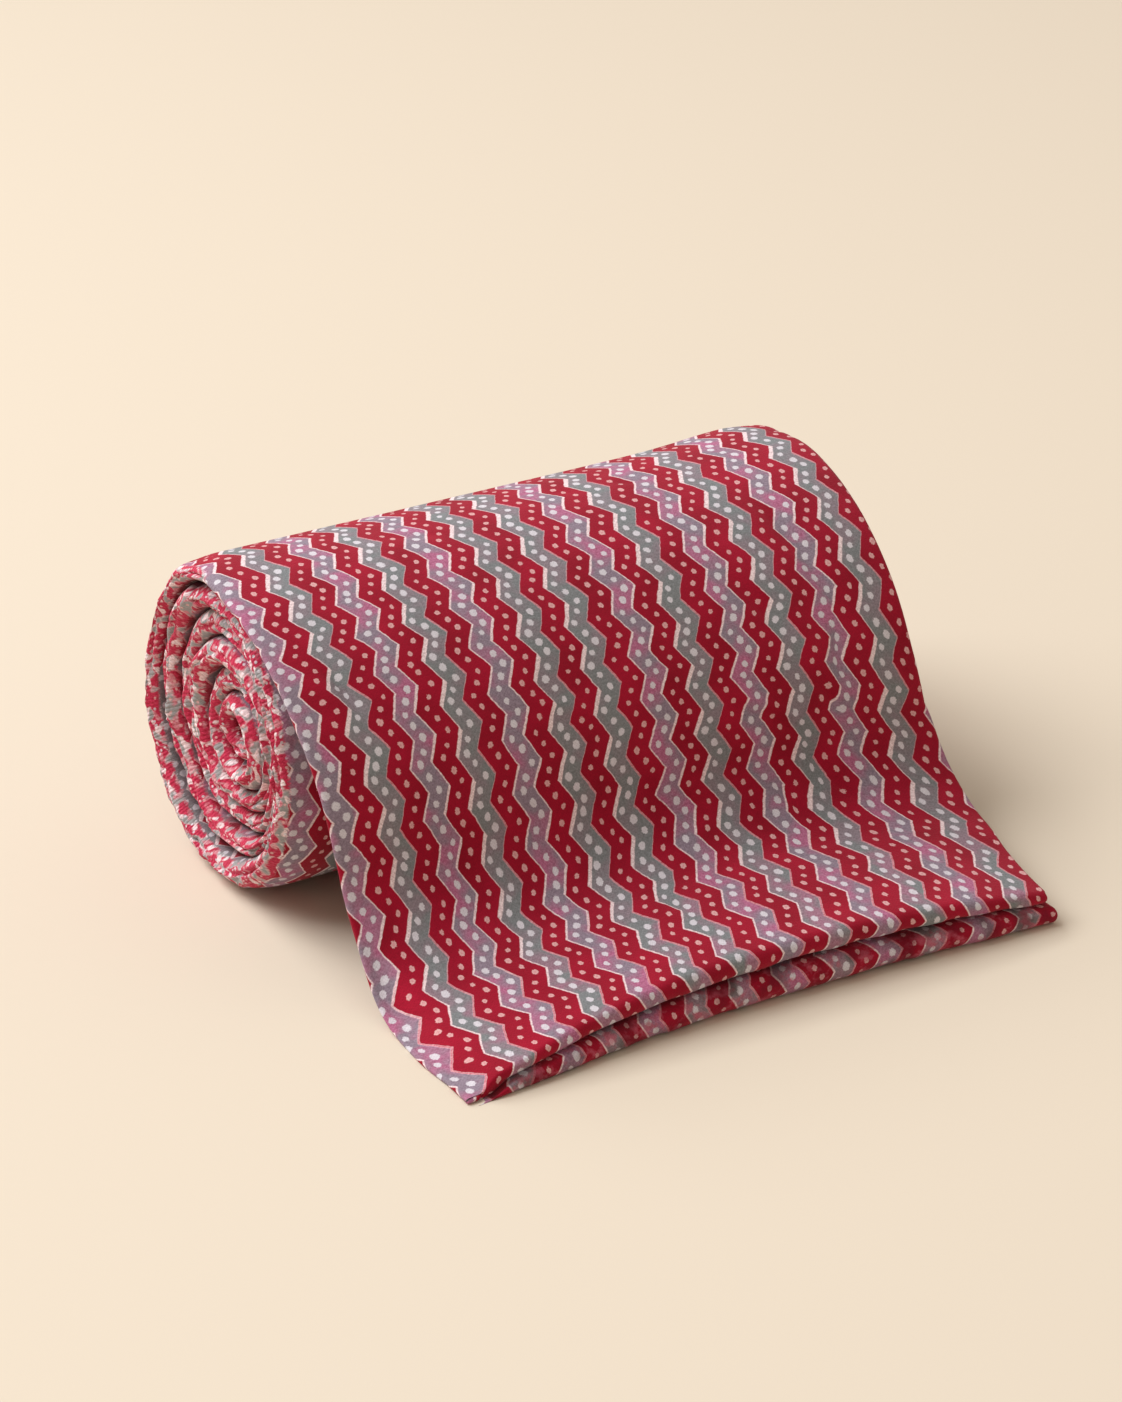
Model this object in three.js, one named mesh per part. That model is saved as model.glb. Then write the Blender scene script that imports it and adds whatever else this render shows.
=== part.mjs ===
// A length of printed cotton cloth, folded lengthwise into a strip and wound into a roll that lies on
// its side. Its loose end leaves the top of the roll, arches out to the front, sweeps down to the
// surface and is folded back and forth under itself, so two rounded folds show at the front.
//
// Units are millimetres. X runs along the roll, Z is up, and the loose end lies towards -Y. Places
// are measured from the roll's axis along Y and from the resting surface along Z.

import * as THREE from 'three';

// The roll: its size, the winding of its strip, and the flat spot that it lies on
const ROLL_LENGTH = 284;
const ROLL_RADIUS = 70;
const TURN_COUNT = 6;
const OUTER_TURN = 9;          // how far the outline comes in over the outermost turn
const INNER_TURN = 10.5;       // thickness of each turn inside it
const TURN_STEPS = 48;         // straight steps in one turn
const STEP_ANGLE = 2 * Math.PI / TURN_STEPS;
const START_ANGLE = 2 * STEP_ANGLE;   // where the outermost turn ends, behind the top
const AXIS_HEIGHT = ROLL_RADIUS * Math.cos(STEP_ANGLE);   // leaves a flat two steps wide below

// The roll's ends: soft ridges, one for each turn, with a crease between them
const CREASE_DEPTH = 6;
const CREST_OUTER = 0.3;       // where the flat of a ridge starts, as a share of the turn
const CREST_INNER = 0.7;
const END_HOLLOW = 5;          // how far the middle of an end lies further in than its rim
const RIDGE_UNEVEN = 1.4;      // how much one turn stands further out than the next
const RIM_INSET = 1.6;         // how much smaller the roll is right at its rounded rim
const ROUNDED_LENGTH = 10;     // the length over which the rim is rounded
const ROLL_STATIONS = 7;

// The loose end: a strip of four layers of cloth, thick where it leaves the roll
const START_GAP = 0.6;         // from the step in the roll's outline to the middle of the strip's end
const START_THICKNESS = 8.7;   // fills that step, less a clearance of 0.3 below
const SHEET_THICKNESS = 3.4;
const ARCH_RADIUS = 100;       // outer face of the arch from the top of the roll to the front

// The stack of folded layers at the front, as shares of one layer's thickness, from the top down
const GAP_IN_UPPER_FOLD = 0.25;
const GAP_BETWEEN_FOLDS = 0.35;
const GAP_IN_LOWER_FOLD = 0.9;
const STACK_SHARES = 4 + GAP_IN_UPPER_FOLD + GAP_BETWEEN_FOLDS + GAP_IN_LOWER_FOLD;
const REAR_RISE = 2;           // how much higher the stack's top layer starts at the rear
const HIDDEN_FOLD_Y = -141;    // rear fold between the two inner layers
const CUT_END_Y = -147;        // where the bottom layer ends

// Sections of the loose end along the roll. x is the section's place. height is the stack's height
// at the front, sweep is the radius of the hollow curve at the foot of the arch, sag is how far the
// arch lies inside its full radius, and front is how far the folds reach, all from the roll's axis.
const SECTIONS = [
  { x: -139.5, height: 6.6, sweep: 60, sag: 5.0, front: -206.0 },
  { x: -128, height: 8.0, sweep: 58, sag: 4.0, front: -205.0 },
  { x: -112, height: 11.5, sweep: 54, sag: 3.0, front: -204.0 },
  { x: -92, height: 16.0, sweep: 47, sag: 2.0, front: -202.5 },
  { x: -70, height: 19.0, sweep: 40, sag: 1.0, front: -201.0 },
  { x: -46, height: 21.5, sweep: 37, sag: 0.4, front: -200.0 },
  { x: -20, height: 23.0, sweep: 36, sag: 0.6, front: -199.6 },
  { x: 8, height: 23.6, sweep: 36, sag: 0.0, front: -200.4 },
  { x: 36, height: 23.4, sweep: 35, sag: 0.3, front: -201.4 },
  { x: 62, height: 22.6, sweep: 36, sag: -0.4, front: -202.6 },
  { x: 86, height: 21.4, sweep: 38, sag: -0.6, front: -204.0 },
  { x: 108, height: 19.4, sweep: 40, sag: -0.2, front: -205.4 },
  { x: 126, height: 17.0, sweep: 42, sag: 0.4, front: -206.6 },
  { x: 139.5, height: 15.0, sweep: 44, sag: 1.2, front: -207.2 },
];

// How many straight steps each piece of the loose end's path has
const ARCH_STEPS = 13;
const SWEEP_STEPS = 6;
const LAYER_STEPS = 2;
const FOLD_STEPS = 6;

const rollCloth = new THREE.MeshStandardMaterial({ color: 0xa8324a, roughness: 0.92, metalness: 0 });
const looseCloth = new THREE.MeshStandardMaterial({ color: 0xb02a45, roughness: 0.92, metalness: 0 });

// Eases from 0 to 1 as a share runs from 0 to 1.
function ease(share) {
  const s = Math.min(Math.max(share, 0), 1);
  return s * s * (3 - 2 * s);
}

// Turns points and triangles into a named mesh.
function closedMesh(name, points, triangles, material) {
  const geometry = new THREE.BufferGeometry();
  geometry.setAttribute('position', new THREE.Float32BufferAttribute(points.flat(), 3));
  geometry.setIndex(triangles.flat());
  geometry.computeVertexNormals();
  const mesh = new THREE.Mesh(geometry, material);
  mesh.name = name;
  return mesh;
}

// The two triangles of a quad given by its corners in order.
function quad(a, b, c, d) {
  return [[a, b, c], [a, c, d]];
}

// Radius of the strip's outer face after a number of turns, counted inwards from the outermost
// point. The first turn keeps its full radius over the back and the flat spot, then comes in.
function windingRadius(turns) {
  if (turns <= 1) {
    return ROLL_RADIUS - OUTER_TURN * ease((turns - 0.55) / 0.45);
  }
  return ROLL_RADIUS - OUTER_TURN - INNER_TURN * (turns - 1);
}

// A point of the roll from its place along X, its radius and its winding angle, kept above the surface.
function rollPoint(x, radius, turns) {
  const angle = START_ANGLE + 2 * Math.PI * turns;
  const z = Math.max(AXIS_HEIGHT + radius * Math.cos(angle), 0);
  return [x, radius * Math.sin(angle), z];
}

// A point on one end of the roll, at a share of the way across a turn. Share 0 is the crease.
function endPoint(side, step, share) {
  const turns = step / TURN_STEPS;
  const outer = windingRadius(turns);
  const inner = windingRadius(turns + 1);
  const onRim = share === 0 && turns <= 1;
  const radius = outer + (inner - outer) * share - (onRim ? RIM_INSET : 0);
  const hollow = END_HOLLOW * (1 - outer / ROLL_RADIUS);
  const uneven = RIDGE_UNEVEN * (1 + Math.sin(3.9 * turns + side));
  const inset = share === 0 ? hollow + CREASE_DEPTH : hollow + uneven;
  return rollPoint(side * (ROLL_LENGTH / 2 - inset), radius, turns);
}

// The wound strip: two ends of spiral ridges, joined by rings of the roll's outline.
function woundRoll() {
  const points = [];
  const triangles = [];
  const steps = TURN_STEPS * TURN_COUNT;
  const add = (point) => points.push(point) - 1;

  // One end is a strip of ridge wound inwards. Its faces are listed for the +X end.
  const buildEnd = (side) => {
    const crease = [];
    const outerCrest = [];
    const innerCrest = [];
    for (let i = 0; i <= steps; i += 1) {
      crease.push(add(endPoint(side, i, 0)));
      outerCrest.push(add(endPoint(side, i, CREST_OUTER)));
      innerCrest.push(add(endPoint(side, i, CREST_INNER)));
    }
    const faces = [];
    for (let i = 0; i < steps; i += 1) {
      faces.push(...quad(crease[i], outerCrest[i], outerCrest[i + 1], crease[i + 1]));
      faces.push(...quad(outerCrest[i], innerCrest[i], innerCrest[i + 1], outerCrest[i + 1]));
      const inward = i + TURN_STEPS;
      if (inward < steps) {
        faces.push(...quad(innerCrest[i], crease[inward], crease[inward + 1], innerCrest[i + 1]));
      }
    }
    // The core is closed by a fan around its middle.
    const core = add(rollPoint(side * (ROLL_LENGTH / 2 - END_HOLLOW - CREASE_DEPTH), 0, 0));
    const loop = [...innerCrest.slice(steps - TURN_STEPS), outerCrest[steps], crease[steps]];
    loop.forEach((point, i) => faces.push([point, core, loop[(i + 1) % loop.length]]));
    const rim = [...crease.slice(0, TURN_STEPS + 1), innerCrest[0], outerCrest[0]];
    triangles.push(...(side > 0 ? faces : faces.map(([a, b, c]) => [a, c, b])));
    return rim;
  };

  // One ring of the outline. Its last two points lie on the step where the loose end starts.
  const buildRing = (x) => {
    const ring = [];
    for (let i = 0; i <= TURN_STEPS; i += 1) {
      ring.push(add(rollPoint(x, windingRadius(i / TURN_STEPS), i / TURN_STEPS)));
    }
    for (const share of [CREST_INNER, CREST_OUTER]) {
      ring.push(add(rollPoint(x, ROLL_RADIUS - OUTER_TURN * share, 0)));
    }
    return ring;
  };

  const rings = [buildEnd(-1)];
  const reach = ROLL_LENGTH / 2 - ROUNDED_LENGTH;
  for (let i = 0; i < ROLL_STATIONS; i += 1) {
    rings.push(buildRing(-reach + 2 * reach * i / (ROLL_STATIONS - 1)));
  }
  rings.push(buildEnd(1));
  for (let r = 0; r < rings.length - 1; r += 1) {
    const left = rings[r];
    const right = rings[r + 1];
    for (let i = 0; i < left.length; i += 1) {
      const next = (i + 1) % left.length;
      triangles.push(...quad(left[i], right[i], right[next], left[next]));
    }
  }
  return closedMesh('wound_roll', points, triangles, rollCloth);
}

// The middle line of the loose end in one section, as {y, z, thickness} from the roll's top to the
// cut end under the stack: an arch, a hollow sweep, then four level layers joined by three folds.
function looseEndPath({ height, sweep, sag, front }) {
  const path = [];
  const layer = height / STACK_SHARES;
  const archBack = ARCH_RADIUS - ROLL_RADIUS;
  const archY = -archBack * Math.sin(START_ANGLE);
  const archZ = AXIS_HEIGHT - archBack * Math.cos(START_ANGLE);

  // The sweep's circle touches the arch from outside and the top layer from above.
  const sweepZ = height + REAR_RISE + sweep;
  const reach = ARCH_RADIUS - sag + sweep;
  const sweepY = archY - Math.sqrt(reach ** 2 - (sweepZ - archZ) ** 2);
  const meetAngle = Math.atan2(sweepY - archY, sweepZ - archZ);
  const startAngle = START_ANGLE - START_GAP / ARCH_RADIUS;

  for (let i = 0; i < ARCH_STEPS; i += 1) {
    const share = i / ARCH_STEPS;
    const angle = startAngle + (meetAngle - startAngle) * share;
    const thickness = START_THICKNESS + (SHEET_THICKNESS - START_THICKNESS) * ease(share * 2.5);
    const radius = ARCH_RADIUS - sag * ease(share * 2) - thickness / 2;
    path.push({ y: archY + radius * Math.sin(angle), z: archZ + radius * Math.cos(angle), thickness });
  }
  for (let i = 0; i <= SWEEP_STEPS; i += 1) {
    const share = i / SWEEP_STEPS;
    const angle = meetAngle + Math.PI + (-meetAngle) * share;
    const thickness = SHEET_THICKNESS + (layer - SHEET_THICKNESS) * ease(share);
    const radius = sweep + thickness / 2;
    path.push({ y: sweepY + radius * Math.sin(angle), z: sweepZ + radius * Math.cos(angle), thickness });
  }

  // Middle heights of the four layers, from the top down, and the folds that join them
  const topZ = height - layer / 2;
  const secondZ = topZ - layer * (1 + GAP_IN_UPPER_FOLD);
  const thirdZ = secondZ - layer * (1 + GAP_BETWEEN_FOLDS);
  const bottomZ = layer / 2;
  const foldTo = (edgeY, fromZ, toZ, direction) => {
    const radius = (fromZ - toZ) / 2;
    const centreY = edgeY - direction * (radius + layer / 2);
    for (let i = 0; i <= FOLD_STEPS; i += 1) {
      const angle = Math.PI * i / FOLD_STEPS;
      const y = centreY + direction * radius * Math.sin(angle);
      path.push({ y, z: (fromZ + toZ) / 2 + radius * Math.cos(angle), thickness: layer });
    }
  };
  const runTo = (endY, z) => {
    const last = path[path.length - 1];
    for (let i = 1; i <= LAYER_STEPS; i += 1) {
      const share = i / (LAYER_STEPS + 1);
      path.push({ y: last.y + (endY - last.y) * share, z: last.z + (z - last.z) * share, thickness: layer });
    }
  };
  runTo(front, topZ);
  foldTo(front, topZ, secondZ, -1);
  runTo(HIDDEN_FOLD_Y, secondZ);
  foldTo(HIDDEN_FOLD_Y, secondZ, thirdZ, 1);
  runTo(front, thirdZ);
  foldTo(front, thirdZ, bottomZ, -1);
  runTo(CUT_END_Y, bottomZ);
  path.push({ y: CUT_END_Y, z: bottomZ, thickness: layer });
  return path;
}

// The strip of cloth around a section's middle line: its upper face from the roll to the cut end,
// then its lower face back again. Each face lies half the thickness away, square to the path.
function looseEndOutline(section) {
  const path = looseEndPath(section);
  const offset = (sign) => path.map((point, i) => {
    const before = path[Math.max(i - 1, 0)];
    const after = path[Math.min(i + 1, path.length - 1)];
    const length = Math.hypot(after.y - before.y, after.z - before.z);
    const half = sign * point.thickness / 2;
    const y = point.y + half * (after.z - before.z) / length;
    const z = point.z - half * (after.y - before.y) / length;
    return [section.x, y, Math.max(z, 0)];
  });
  return [...offset(1), ...offset(-1).reverse()];
}

// The loose end: the outlines of all sections joined along the roll, with a flat cap at each side.
function looseEnd() {
  const outlines = SECTIONS.map(looseEndOutline);
  const count = outlines[0].length;
  const points = outlines.flat();
  const triangles = [];
  for (let s = 0; s < outlines.length - 1; s += 1) {
    for (let i = 0; i < count; i += 1) {
      const next = (i + 1) % count;
      const here = s * count;
      const there = here + count;
      triangles.push(...quad(here + i, here + next, there + next, there + i));
    }
  }
  const far = (outlines.length - 1) * count;
  for (let i = 0; i < count / 2 - 1; i += 1) {
    const below = count - 1 - i;
    triangles.push(...quad(i, below, below - 1, i + 1));
    triangles.push(...quad(far + i, far + i + 1, far + below - 1, far + below));
  }
  return closedMesh('loose_end', points, triangles, looseCloth);
}

// Both are modelled around the roll's axis, then moved so the origin is under the part's middle.
const rolledCloth = new THREE.Group();
rolledCloth.add(woundRoll(), looseEnd());
const extent = new THREE.Box3().setFromObject(rolledCloth);
const middle = extent.getCenter(new THREE.Vector3());
rolledCloth.position.set(-middle.x, -middle.y, -extent.min.z);

export default rolledCloth;
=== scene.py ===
"""A length of printed cotton, folded into a strip and wound into a roll that lies on its side.

The loose end leaves the top of the roll, arches out to the front, sweeps down to the surface and is
folded back and forth under itself. Shapes are worked out in millimetres around the roll's axis, with
x along the roll, y towards the back and z up from the surface, then moved into the part's frame.
"""

import bpy
import numpy as np
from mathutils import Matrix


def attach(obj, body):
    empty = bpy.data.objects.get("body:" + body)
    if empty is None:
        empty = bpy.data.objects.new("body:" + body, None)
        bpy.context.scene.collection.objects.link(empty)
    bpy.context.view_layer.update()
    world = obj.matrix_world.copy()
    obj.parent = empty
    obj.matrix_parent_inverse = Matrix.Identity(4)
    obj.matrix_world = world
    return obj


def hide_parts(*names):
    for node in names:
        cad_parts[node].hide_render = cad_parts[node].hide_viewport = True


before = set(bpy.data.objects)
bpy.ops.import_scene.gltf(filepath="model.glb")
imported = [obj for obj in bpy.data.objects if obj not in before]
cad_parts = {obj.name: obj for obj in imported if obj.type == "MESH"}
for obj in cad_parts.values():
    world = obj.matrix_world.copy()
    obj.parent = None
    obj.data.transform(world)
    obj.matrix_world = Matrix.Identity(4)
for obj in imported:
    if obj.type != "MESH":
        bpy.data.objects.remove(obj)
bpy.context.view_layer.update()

MM = 0.001

# From the roll's axis to the part's origin
AXIS_TO_FRAME = np.array([0.18, 68.6, 0.0])

# The roll. Turns are counted inwards from where the strip leaves its top, and the outer strip joins
# the inner turns a little past the first
ROLL_RADIUS = 70.0
OUTER_TURN = 9.0
INNER_TURN = 10.5
START_ANGLE = np.radians(15.0)
AXIS_HEIGHT = ROLL_RADIUS * np.cos(np.radians(7.5))
HALF_LENGTH = 142.0
END_HOLLOW = 5.0
END_FLARE = 5.0
TURN_GAP = 0.3
RIM_INSET = 1.8
RIM_WIDTH = 12.0
JOIN_TURN = 1.04
CORE_TURN = 5.72
INNER_STEPS = 760
OUTER_STEPS = 280

# An edge of the strip: how far its rounding reaches at most, and as a share of the thickness
WIDEST_BULGE = 7.6
BULGE_SHARE = 0.8
ROLL_NARROWING = 0.5

# The loose end
ARCH_RADIUS = 100.0
SHEET_THICKNESS = 3.4
UPPER_FOLD_GAP, MIDDLE_GAP, LOWER_FOLD_GAP = 0.25, 0.35, 0.9
STACK_SHARES = 4 + UPPER_FOLD_GAP + MIDDLE_GAP + LOWER_FOLD_GAP
REAR_RISE = 2.0
HIDDEN_FOLD_Y = -141.0
CUT_END_Y = -147.0
LOWER_FOLD_REACH = 3.0
LOOSE_STEPS = {"arch": 96, "sweep": 28, "top": 26, "fold": 12, "layer": 8}
LOOSE_PARTS = ("arch", "sweep", "top", "fold", "layer", "fold", "layer", "fold", "layer")

# Sections along the roll: place, height of the stack, radius of the sweep, sag of the arch, and
# how far forward the folds reach
SECTIONS = np.array([
    (-139.5, 6.6, 60, 5.0, -206.0), (-128, 8.0, 58, 4.0, -205.0), (-112, 11.5, 54, 3.0, -204.0),
    (-92, 16.0, 47, 2.0, -202.5), (-70, 19.0, 40, 1.0, -201.0), (-46, 21.5, 37, 0.4, -200.0),
    (-20, 23.0, 36, 0.6, -199.6), (8, 23.6, 36, 0.0, -200.4), (36, 23.4, 35, 0.3, -201.4),
    (62, 22.6, 36, -0.4, -202.6), (86, 21.4, 38, -0.6, -204.0), (108, 19.4, 40, -0.2, -205.4),
    (126, 17.0, 42, 0.4, -206.6), (139.5, 15.0, 44, 1.2, -207.2)])

# The print: width of a red and a grey stripe together, and length of one zigzag
STRIPE_PAIR = 22.2
ZIGZAG_LENGTH = 20.5
PRINT_START = -126.0


def ease(share):
    """Soft step from 0 to 1: three times the share squared, less twice the share cubed."""
    s = np.clip(share, 0, 1)
    return s * s * (3 - 2 * s)


def curve(x, xs, ys):
    """Smooth curve through points: a cubic between neighbours, whose slopes are their mean slopes."""
    xs = np.asarray(xs, float)
    ys = np.asarray(ys, float)
    slope = np.gradient(ys, xs)
    x = np.clip(x, xs[0], xs[-1])
    i = np.clip(np.searchsorted(xs, x) - 1, 0, len(xs) - 2)
    span = xs[i + 1] - xs[i]
    t = (x - xs[i]) / span
    here = (1 + 2 * t) * (1 - t) ** 2 * ys[i] + t * (1 - t) ** 2 * span * slope[i]
    there = t * t * (3 - 2 * t) * ys[i + 1] + t * t * (t - 1) * span * slope[i + 1]
    return here + there


def soft_noise(a, b, seed):
    """Smooth noise from -1 to 1: random values on a unit grid, eased between the grid's points."""
    grid = np.random.default_rng(seed).uniform(-1, 1, (89, 89))
    ia = np.floor(a).astype(int)
    ib = np.floor(b).astype(int)
    fa = ease(a - ia)
    fb = ease(b - ib)
    near = grid[ia % 89, ib % 89] * (1 - fa) + grid[(ia + 1) % 89, ib % 89] * fa
    far = grid[ia % 89, (ib + 1) % 89] * (1 - fa) + grid[(ia + 1) % 89, (ib + 1) % 89] * fa
    return near * (1 - fb) + far * fb


def winding_radius(turns):
    """Radius of the outer face: full over the back, then eased in by one turn, then even steps in."""
    first = ROLL_RADIUS - OUTER_TURN * ease((turns - 0.55) / 0.45)
    rest = ROLL_RADIUS - OUTER_TURN - INNER_TURN * (turns - 1)
    return np.where(turns <= 1, first, rest)


def turn_thickness(turns):
    """Thickness of the wound strip: from its outer face to the next turn's, less a small gap."""
    return winding_radius(turns) - winding_radius(turns + 1) - TURN_GAP


def wound_line(turns):
    """Middle line of the wound strip: a spiral of the winding radius less half the thickness."""
    thickness = turn_thickness(turns)
    radius = winding_radius(turns) - thickness / 2
    angle = START_ANGLE + 2 * np.pi * turns
    return radius * np.sin(angle), AXIS_HEIGHT + radius * np.cos(angle), thickness


def loose_line(x, steps):
    """Middle line of the loose end in each section x: an arch, a hollow sweep, then level layers.

    The sweep's circle touches the arch from outside and the top layer from above. Each fold is half
    a circle whose diameter is the distance between the two layers that it joins.
    """
    height, sweep, sag, front = (curve(x, SECTIONS[:, 0], SECTIONS[:, k]) for k in range(1, 5))
    layer = height / STACK_SHARES
    back = ARCH_RADIUS - ROLL_RADIUS
    arch_y = -back * np.sin(START_ANGLE)
    arch_z = AXIS_HEIGHT - back * np.cos(START_ANGLE)
    sweep_z = height + REAR_RISE + sweep
    reach = ARCH_RADIUS - sag + sweep
    sweep_y = arch_y - np.sqrt(reach ** 2 - (sweep_z - arch_z) ** 2)
    meet = np.arctan2(sweep_y - arch_y, sweep_z - arch_z)
    start_thickness = OUTER_TURN - TURN_GAP
    rows = []

    def shares(count, end=False):
        return np.linspace(0, 1, count, endpoint=end)[:, None]

    share = shares(steps["arch"])
    angle = START_ANGLE + (meet - START_ANGLE) * share
    thickness = start_thickness + (SHEET_THICKNESS - start_thickness) * ease(share * 2.5)
    radius = ARCH_RADIUS - sag * ease(share * 2) - thickness / 2
    rows.append((arch_y + radius * np.sin(angle), arch_z + radius * np.cos(angle), thickness + 0 * x))

    share = shares(steps["sweep"])
    angle = meet + np.pi - meet * share
    thickness = SHEET_THICKNESS + (layer - SHEET_THICKNESS) * ease(share)
    radius = sweep + thickness / 2
    rows.append((sweep_y + radius * np.sin(angle), sweep_z + radius * np.cos(angle), thickness))

    top = height - layer / 2
    second = top - layer * (1 + UPPER_FOLD_GAP)
    third = second - layer * (1 + MIDDLE_GAP)
    bottom = layer / 2

    def run(from_y, to_y, from_z, to_z, count, end=False):
        share = shares(count, end)
        rows.append((from_y + (to_y - from_y) * share, from_z + (to_z - from_z) * share, layer + 0 * share))

    def fold(edge_y, from_z, to_z, direction):
        radius = (from_z - to_z) / 2
        centre_y = edge_y - direction * (radius + layer / 2)
        angle = np.pi * shares(steps["fold"])
        y = centre_y + direction * radius * np.sin(angle)
        rows.append((y, (from_z + to_z) / 2 + radius * np.cos(angle), layer + 0 * angle))
        return centre_y

    upper_fold = front + (top - second) / 2 + layer / 2
    hidden_fold = HIDDEN_FOLD_Y - (second - third) / 2 - layer / 2
    lower_front = front - LOWER_FOLD_REACH
    lower_fold = lower_front + (third - bottom) / 2 + layer / 2
    run(sweep_y, upper_fold, top + REAR_RISE, top, steps["top"])
    fold(front, top, second, -1)
    run(upper_fold, hidden_fold, second, second, steps["layer"])
    fold(HIDDEN_FOLD_Y, second, third, 1)
    run(hidden_fold, lower_fold, third, third, steps["layer"])
    fold(lower_front, third, bottom, -1)
    run(lower_fold, CUT_END_Y + 0 * x, bottom, bottom, steps["layer"], end=True)
    return [np.concatenate(part) for part in zip(*rows)]


def edge_loop(top_count, edge_count, bottom_count):
    """The way round the strip's cross-section: share across from left to right, and face angle.

    The angle is 0 on the outer face and pi on the inner face. Along the right edge it runs from 0 to
    pi and along the left edge back from pi to 0, where the cosine gives the place in the thickness.
    """
    turn = np.pi * (np.arange(edge_count) + 0.5) / edge_count
    across = np.concatenate([np.linspace(0, 1, top_count), np.ones(edge_count),
                             np.linspace(1, 0, bottom_count), np.zeros(edge_count)])
    angle = np.concatenate([np.zeros(top_count), turn, np.full(bottom_count, np.pi), turn[::-1]])
    side = np.concatenate([np.zeros(top_count), np.ones(edge_count),
                           np.zeros(bottom_count), -np.ones(edge_count)])
    return across, angle, side


def core_warp(y, z, x):
    """Presses the turns out of round: a shift that is greatest at the core and none at the rim.

    The core lies a little to the front and low, and soft noise moves the turns between by 2 mm.
    """
    radius = np.hypot(y, z - AXIS_HEIGHT)
    weight = np.clip(1 - (radius / 64) ** 2, 0, 1)
    half = 0.5 + 0.5 * np.clip(x / HALF_LENGTH, -1, 1)

    def shift(seed):
        left = soft_noise(y / 24 + 7, z / 24 + 3, seed)
        right = soft_noise(y / 24 + 31, z / 24 + 11, seed)
        return left * (1 - half) + right * half

    return y + weight * (-6 + 2.4 * shift(5)), z + weight * (-2.4 + 2.4 * shift(6))


def outward(y, z):
    """Unit normals of a path in the y and z plane: its direction turned by a quarter, outwards."""
    dy = np.gradient(y, axis=0)
    dz = np.gradient(z, axis=0)
    length = np.hypot(dy, dz)
    return dz / length, -dy / length


def path_length(y, z):
    """Length along each column, from its first row: the sum of the distances between its points."""
    step = np.hypot(np.diff(y, axis=0), np.diff(z, axis=0))
    return np.concatenate([np.zeros((1, y.shape[1])), np.cumsum(step, axis=0)])


def knot_weights(x, knots):
    """How much each knot counts at x: the smooth curve through 1 at that knot and 0 at the others."""
    return np.stack([curve(x, knots, row) for row in np.eye(len(knots))], -1)


def in_scene(name, data):
    """A new object in the scene for a mesh, a light or a camera."""
    thing = bpy.data.objects.new(name, data)
    bpy.context.scene.collection.objects.link(thing)
    return thing


def build_ribbon(name, points, print_u, print_v, seam, gathered, hidden, material):
    """A closed ribbon: rings of points joined in order, with a flat cap at each end.

    Each ring starts on the outer face at the left and goes round by the right edge. The print's
    places go into the UV map named print. Where the print meets itself, in the column named by
    seam, the face's far corners carry on from its near ones. The attribute named gathered is 1 where
    the cloth is bunched along an edge, and the one named hidden is 1 deep between two turns, where
    the shader paints shade into the colour.
    """
    rows, columns = points.shape[:2]
    ring = np.arange(columns)
    following = (ring + 1) % columns
    base = np.arange(rows - 1)[:, None] * columns
    quads = np.stack([base + ring, base + columns + ring, base + columns + following, base + following], -1)
    caps = [ring, (rows - 1) * columns + ring[::-1]]
    corners = np.concatenate([quads.reshape(-1)] + caps)
    sizes = np.concatenate([np.full((rows - 1) * columns, 4), [columns, columns]])
    starts = np.cumsum(sizes) - sizes

    u_next = np.roll(print_u, -1, axis=1)
    u_next[:, seam] = 2 * print_u[:, seam] - print_u[:, seam - 1]
    v_next = np.roll(print_v, -1, axis=1)
    u = np.stack([print_u[:-1], print_u[1:], u_next[1:], u_next[:-1]], -1).reshape(-1)
    v = np.stack([print_v[:-1], print_v[1:], v_next[1:], v_next[:-1]], -1).reshape(-1)
    u = np.concatenate([u, print_u[0], print_u[-1, ::-1]])
    v = np.concatenate([v, print_v[0], print_v[-1, ::-1]])

    mesh = bpy.data.meshes.new(name)
    mesh.vertices.add(rows * columns)
    mesh.vertices.foreach_set("co", ((points + AXIS_TO_FRAME) * MM).reshape(-1))
    mesh.loops.add(len(corners))
    mesh.loops.foreach_set("vertex_index", corners)
    mesh.polygons.add(len(sizes))
    mesh.polygons.foreach_set("loop_start", starts)
    mesh.polygons.foreach_set("use_smooth", np.ones(len(sizes), bool))
    mesh.update(calc_edges=True)
    mesh.uv_layers.new(name="print").data.foreach_set("uv", np.stack([u, v], -1).reshape(-1))
    for label, values in (("gathered", gathered), ("hidden", hidden)):
        layer = mesh.attributes.new(label, "FLOAT", "POINT")
        layer.data.foreach_set("value", (values + np.zeros((rows, columns))).reshape(-1))
    mesh.materials.append(material)
    return in_scene(name, mesh)


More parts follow.
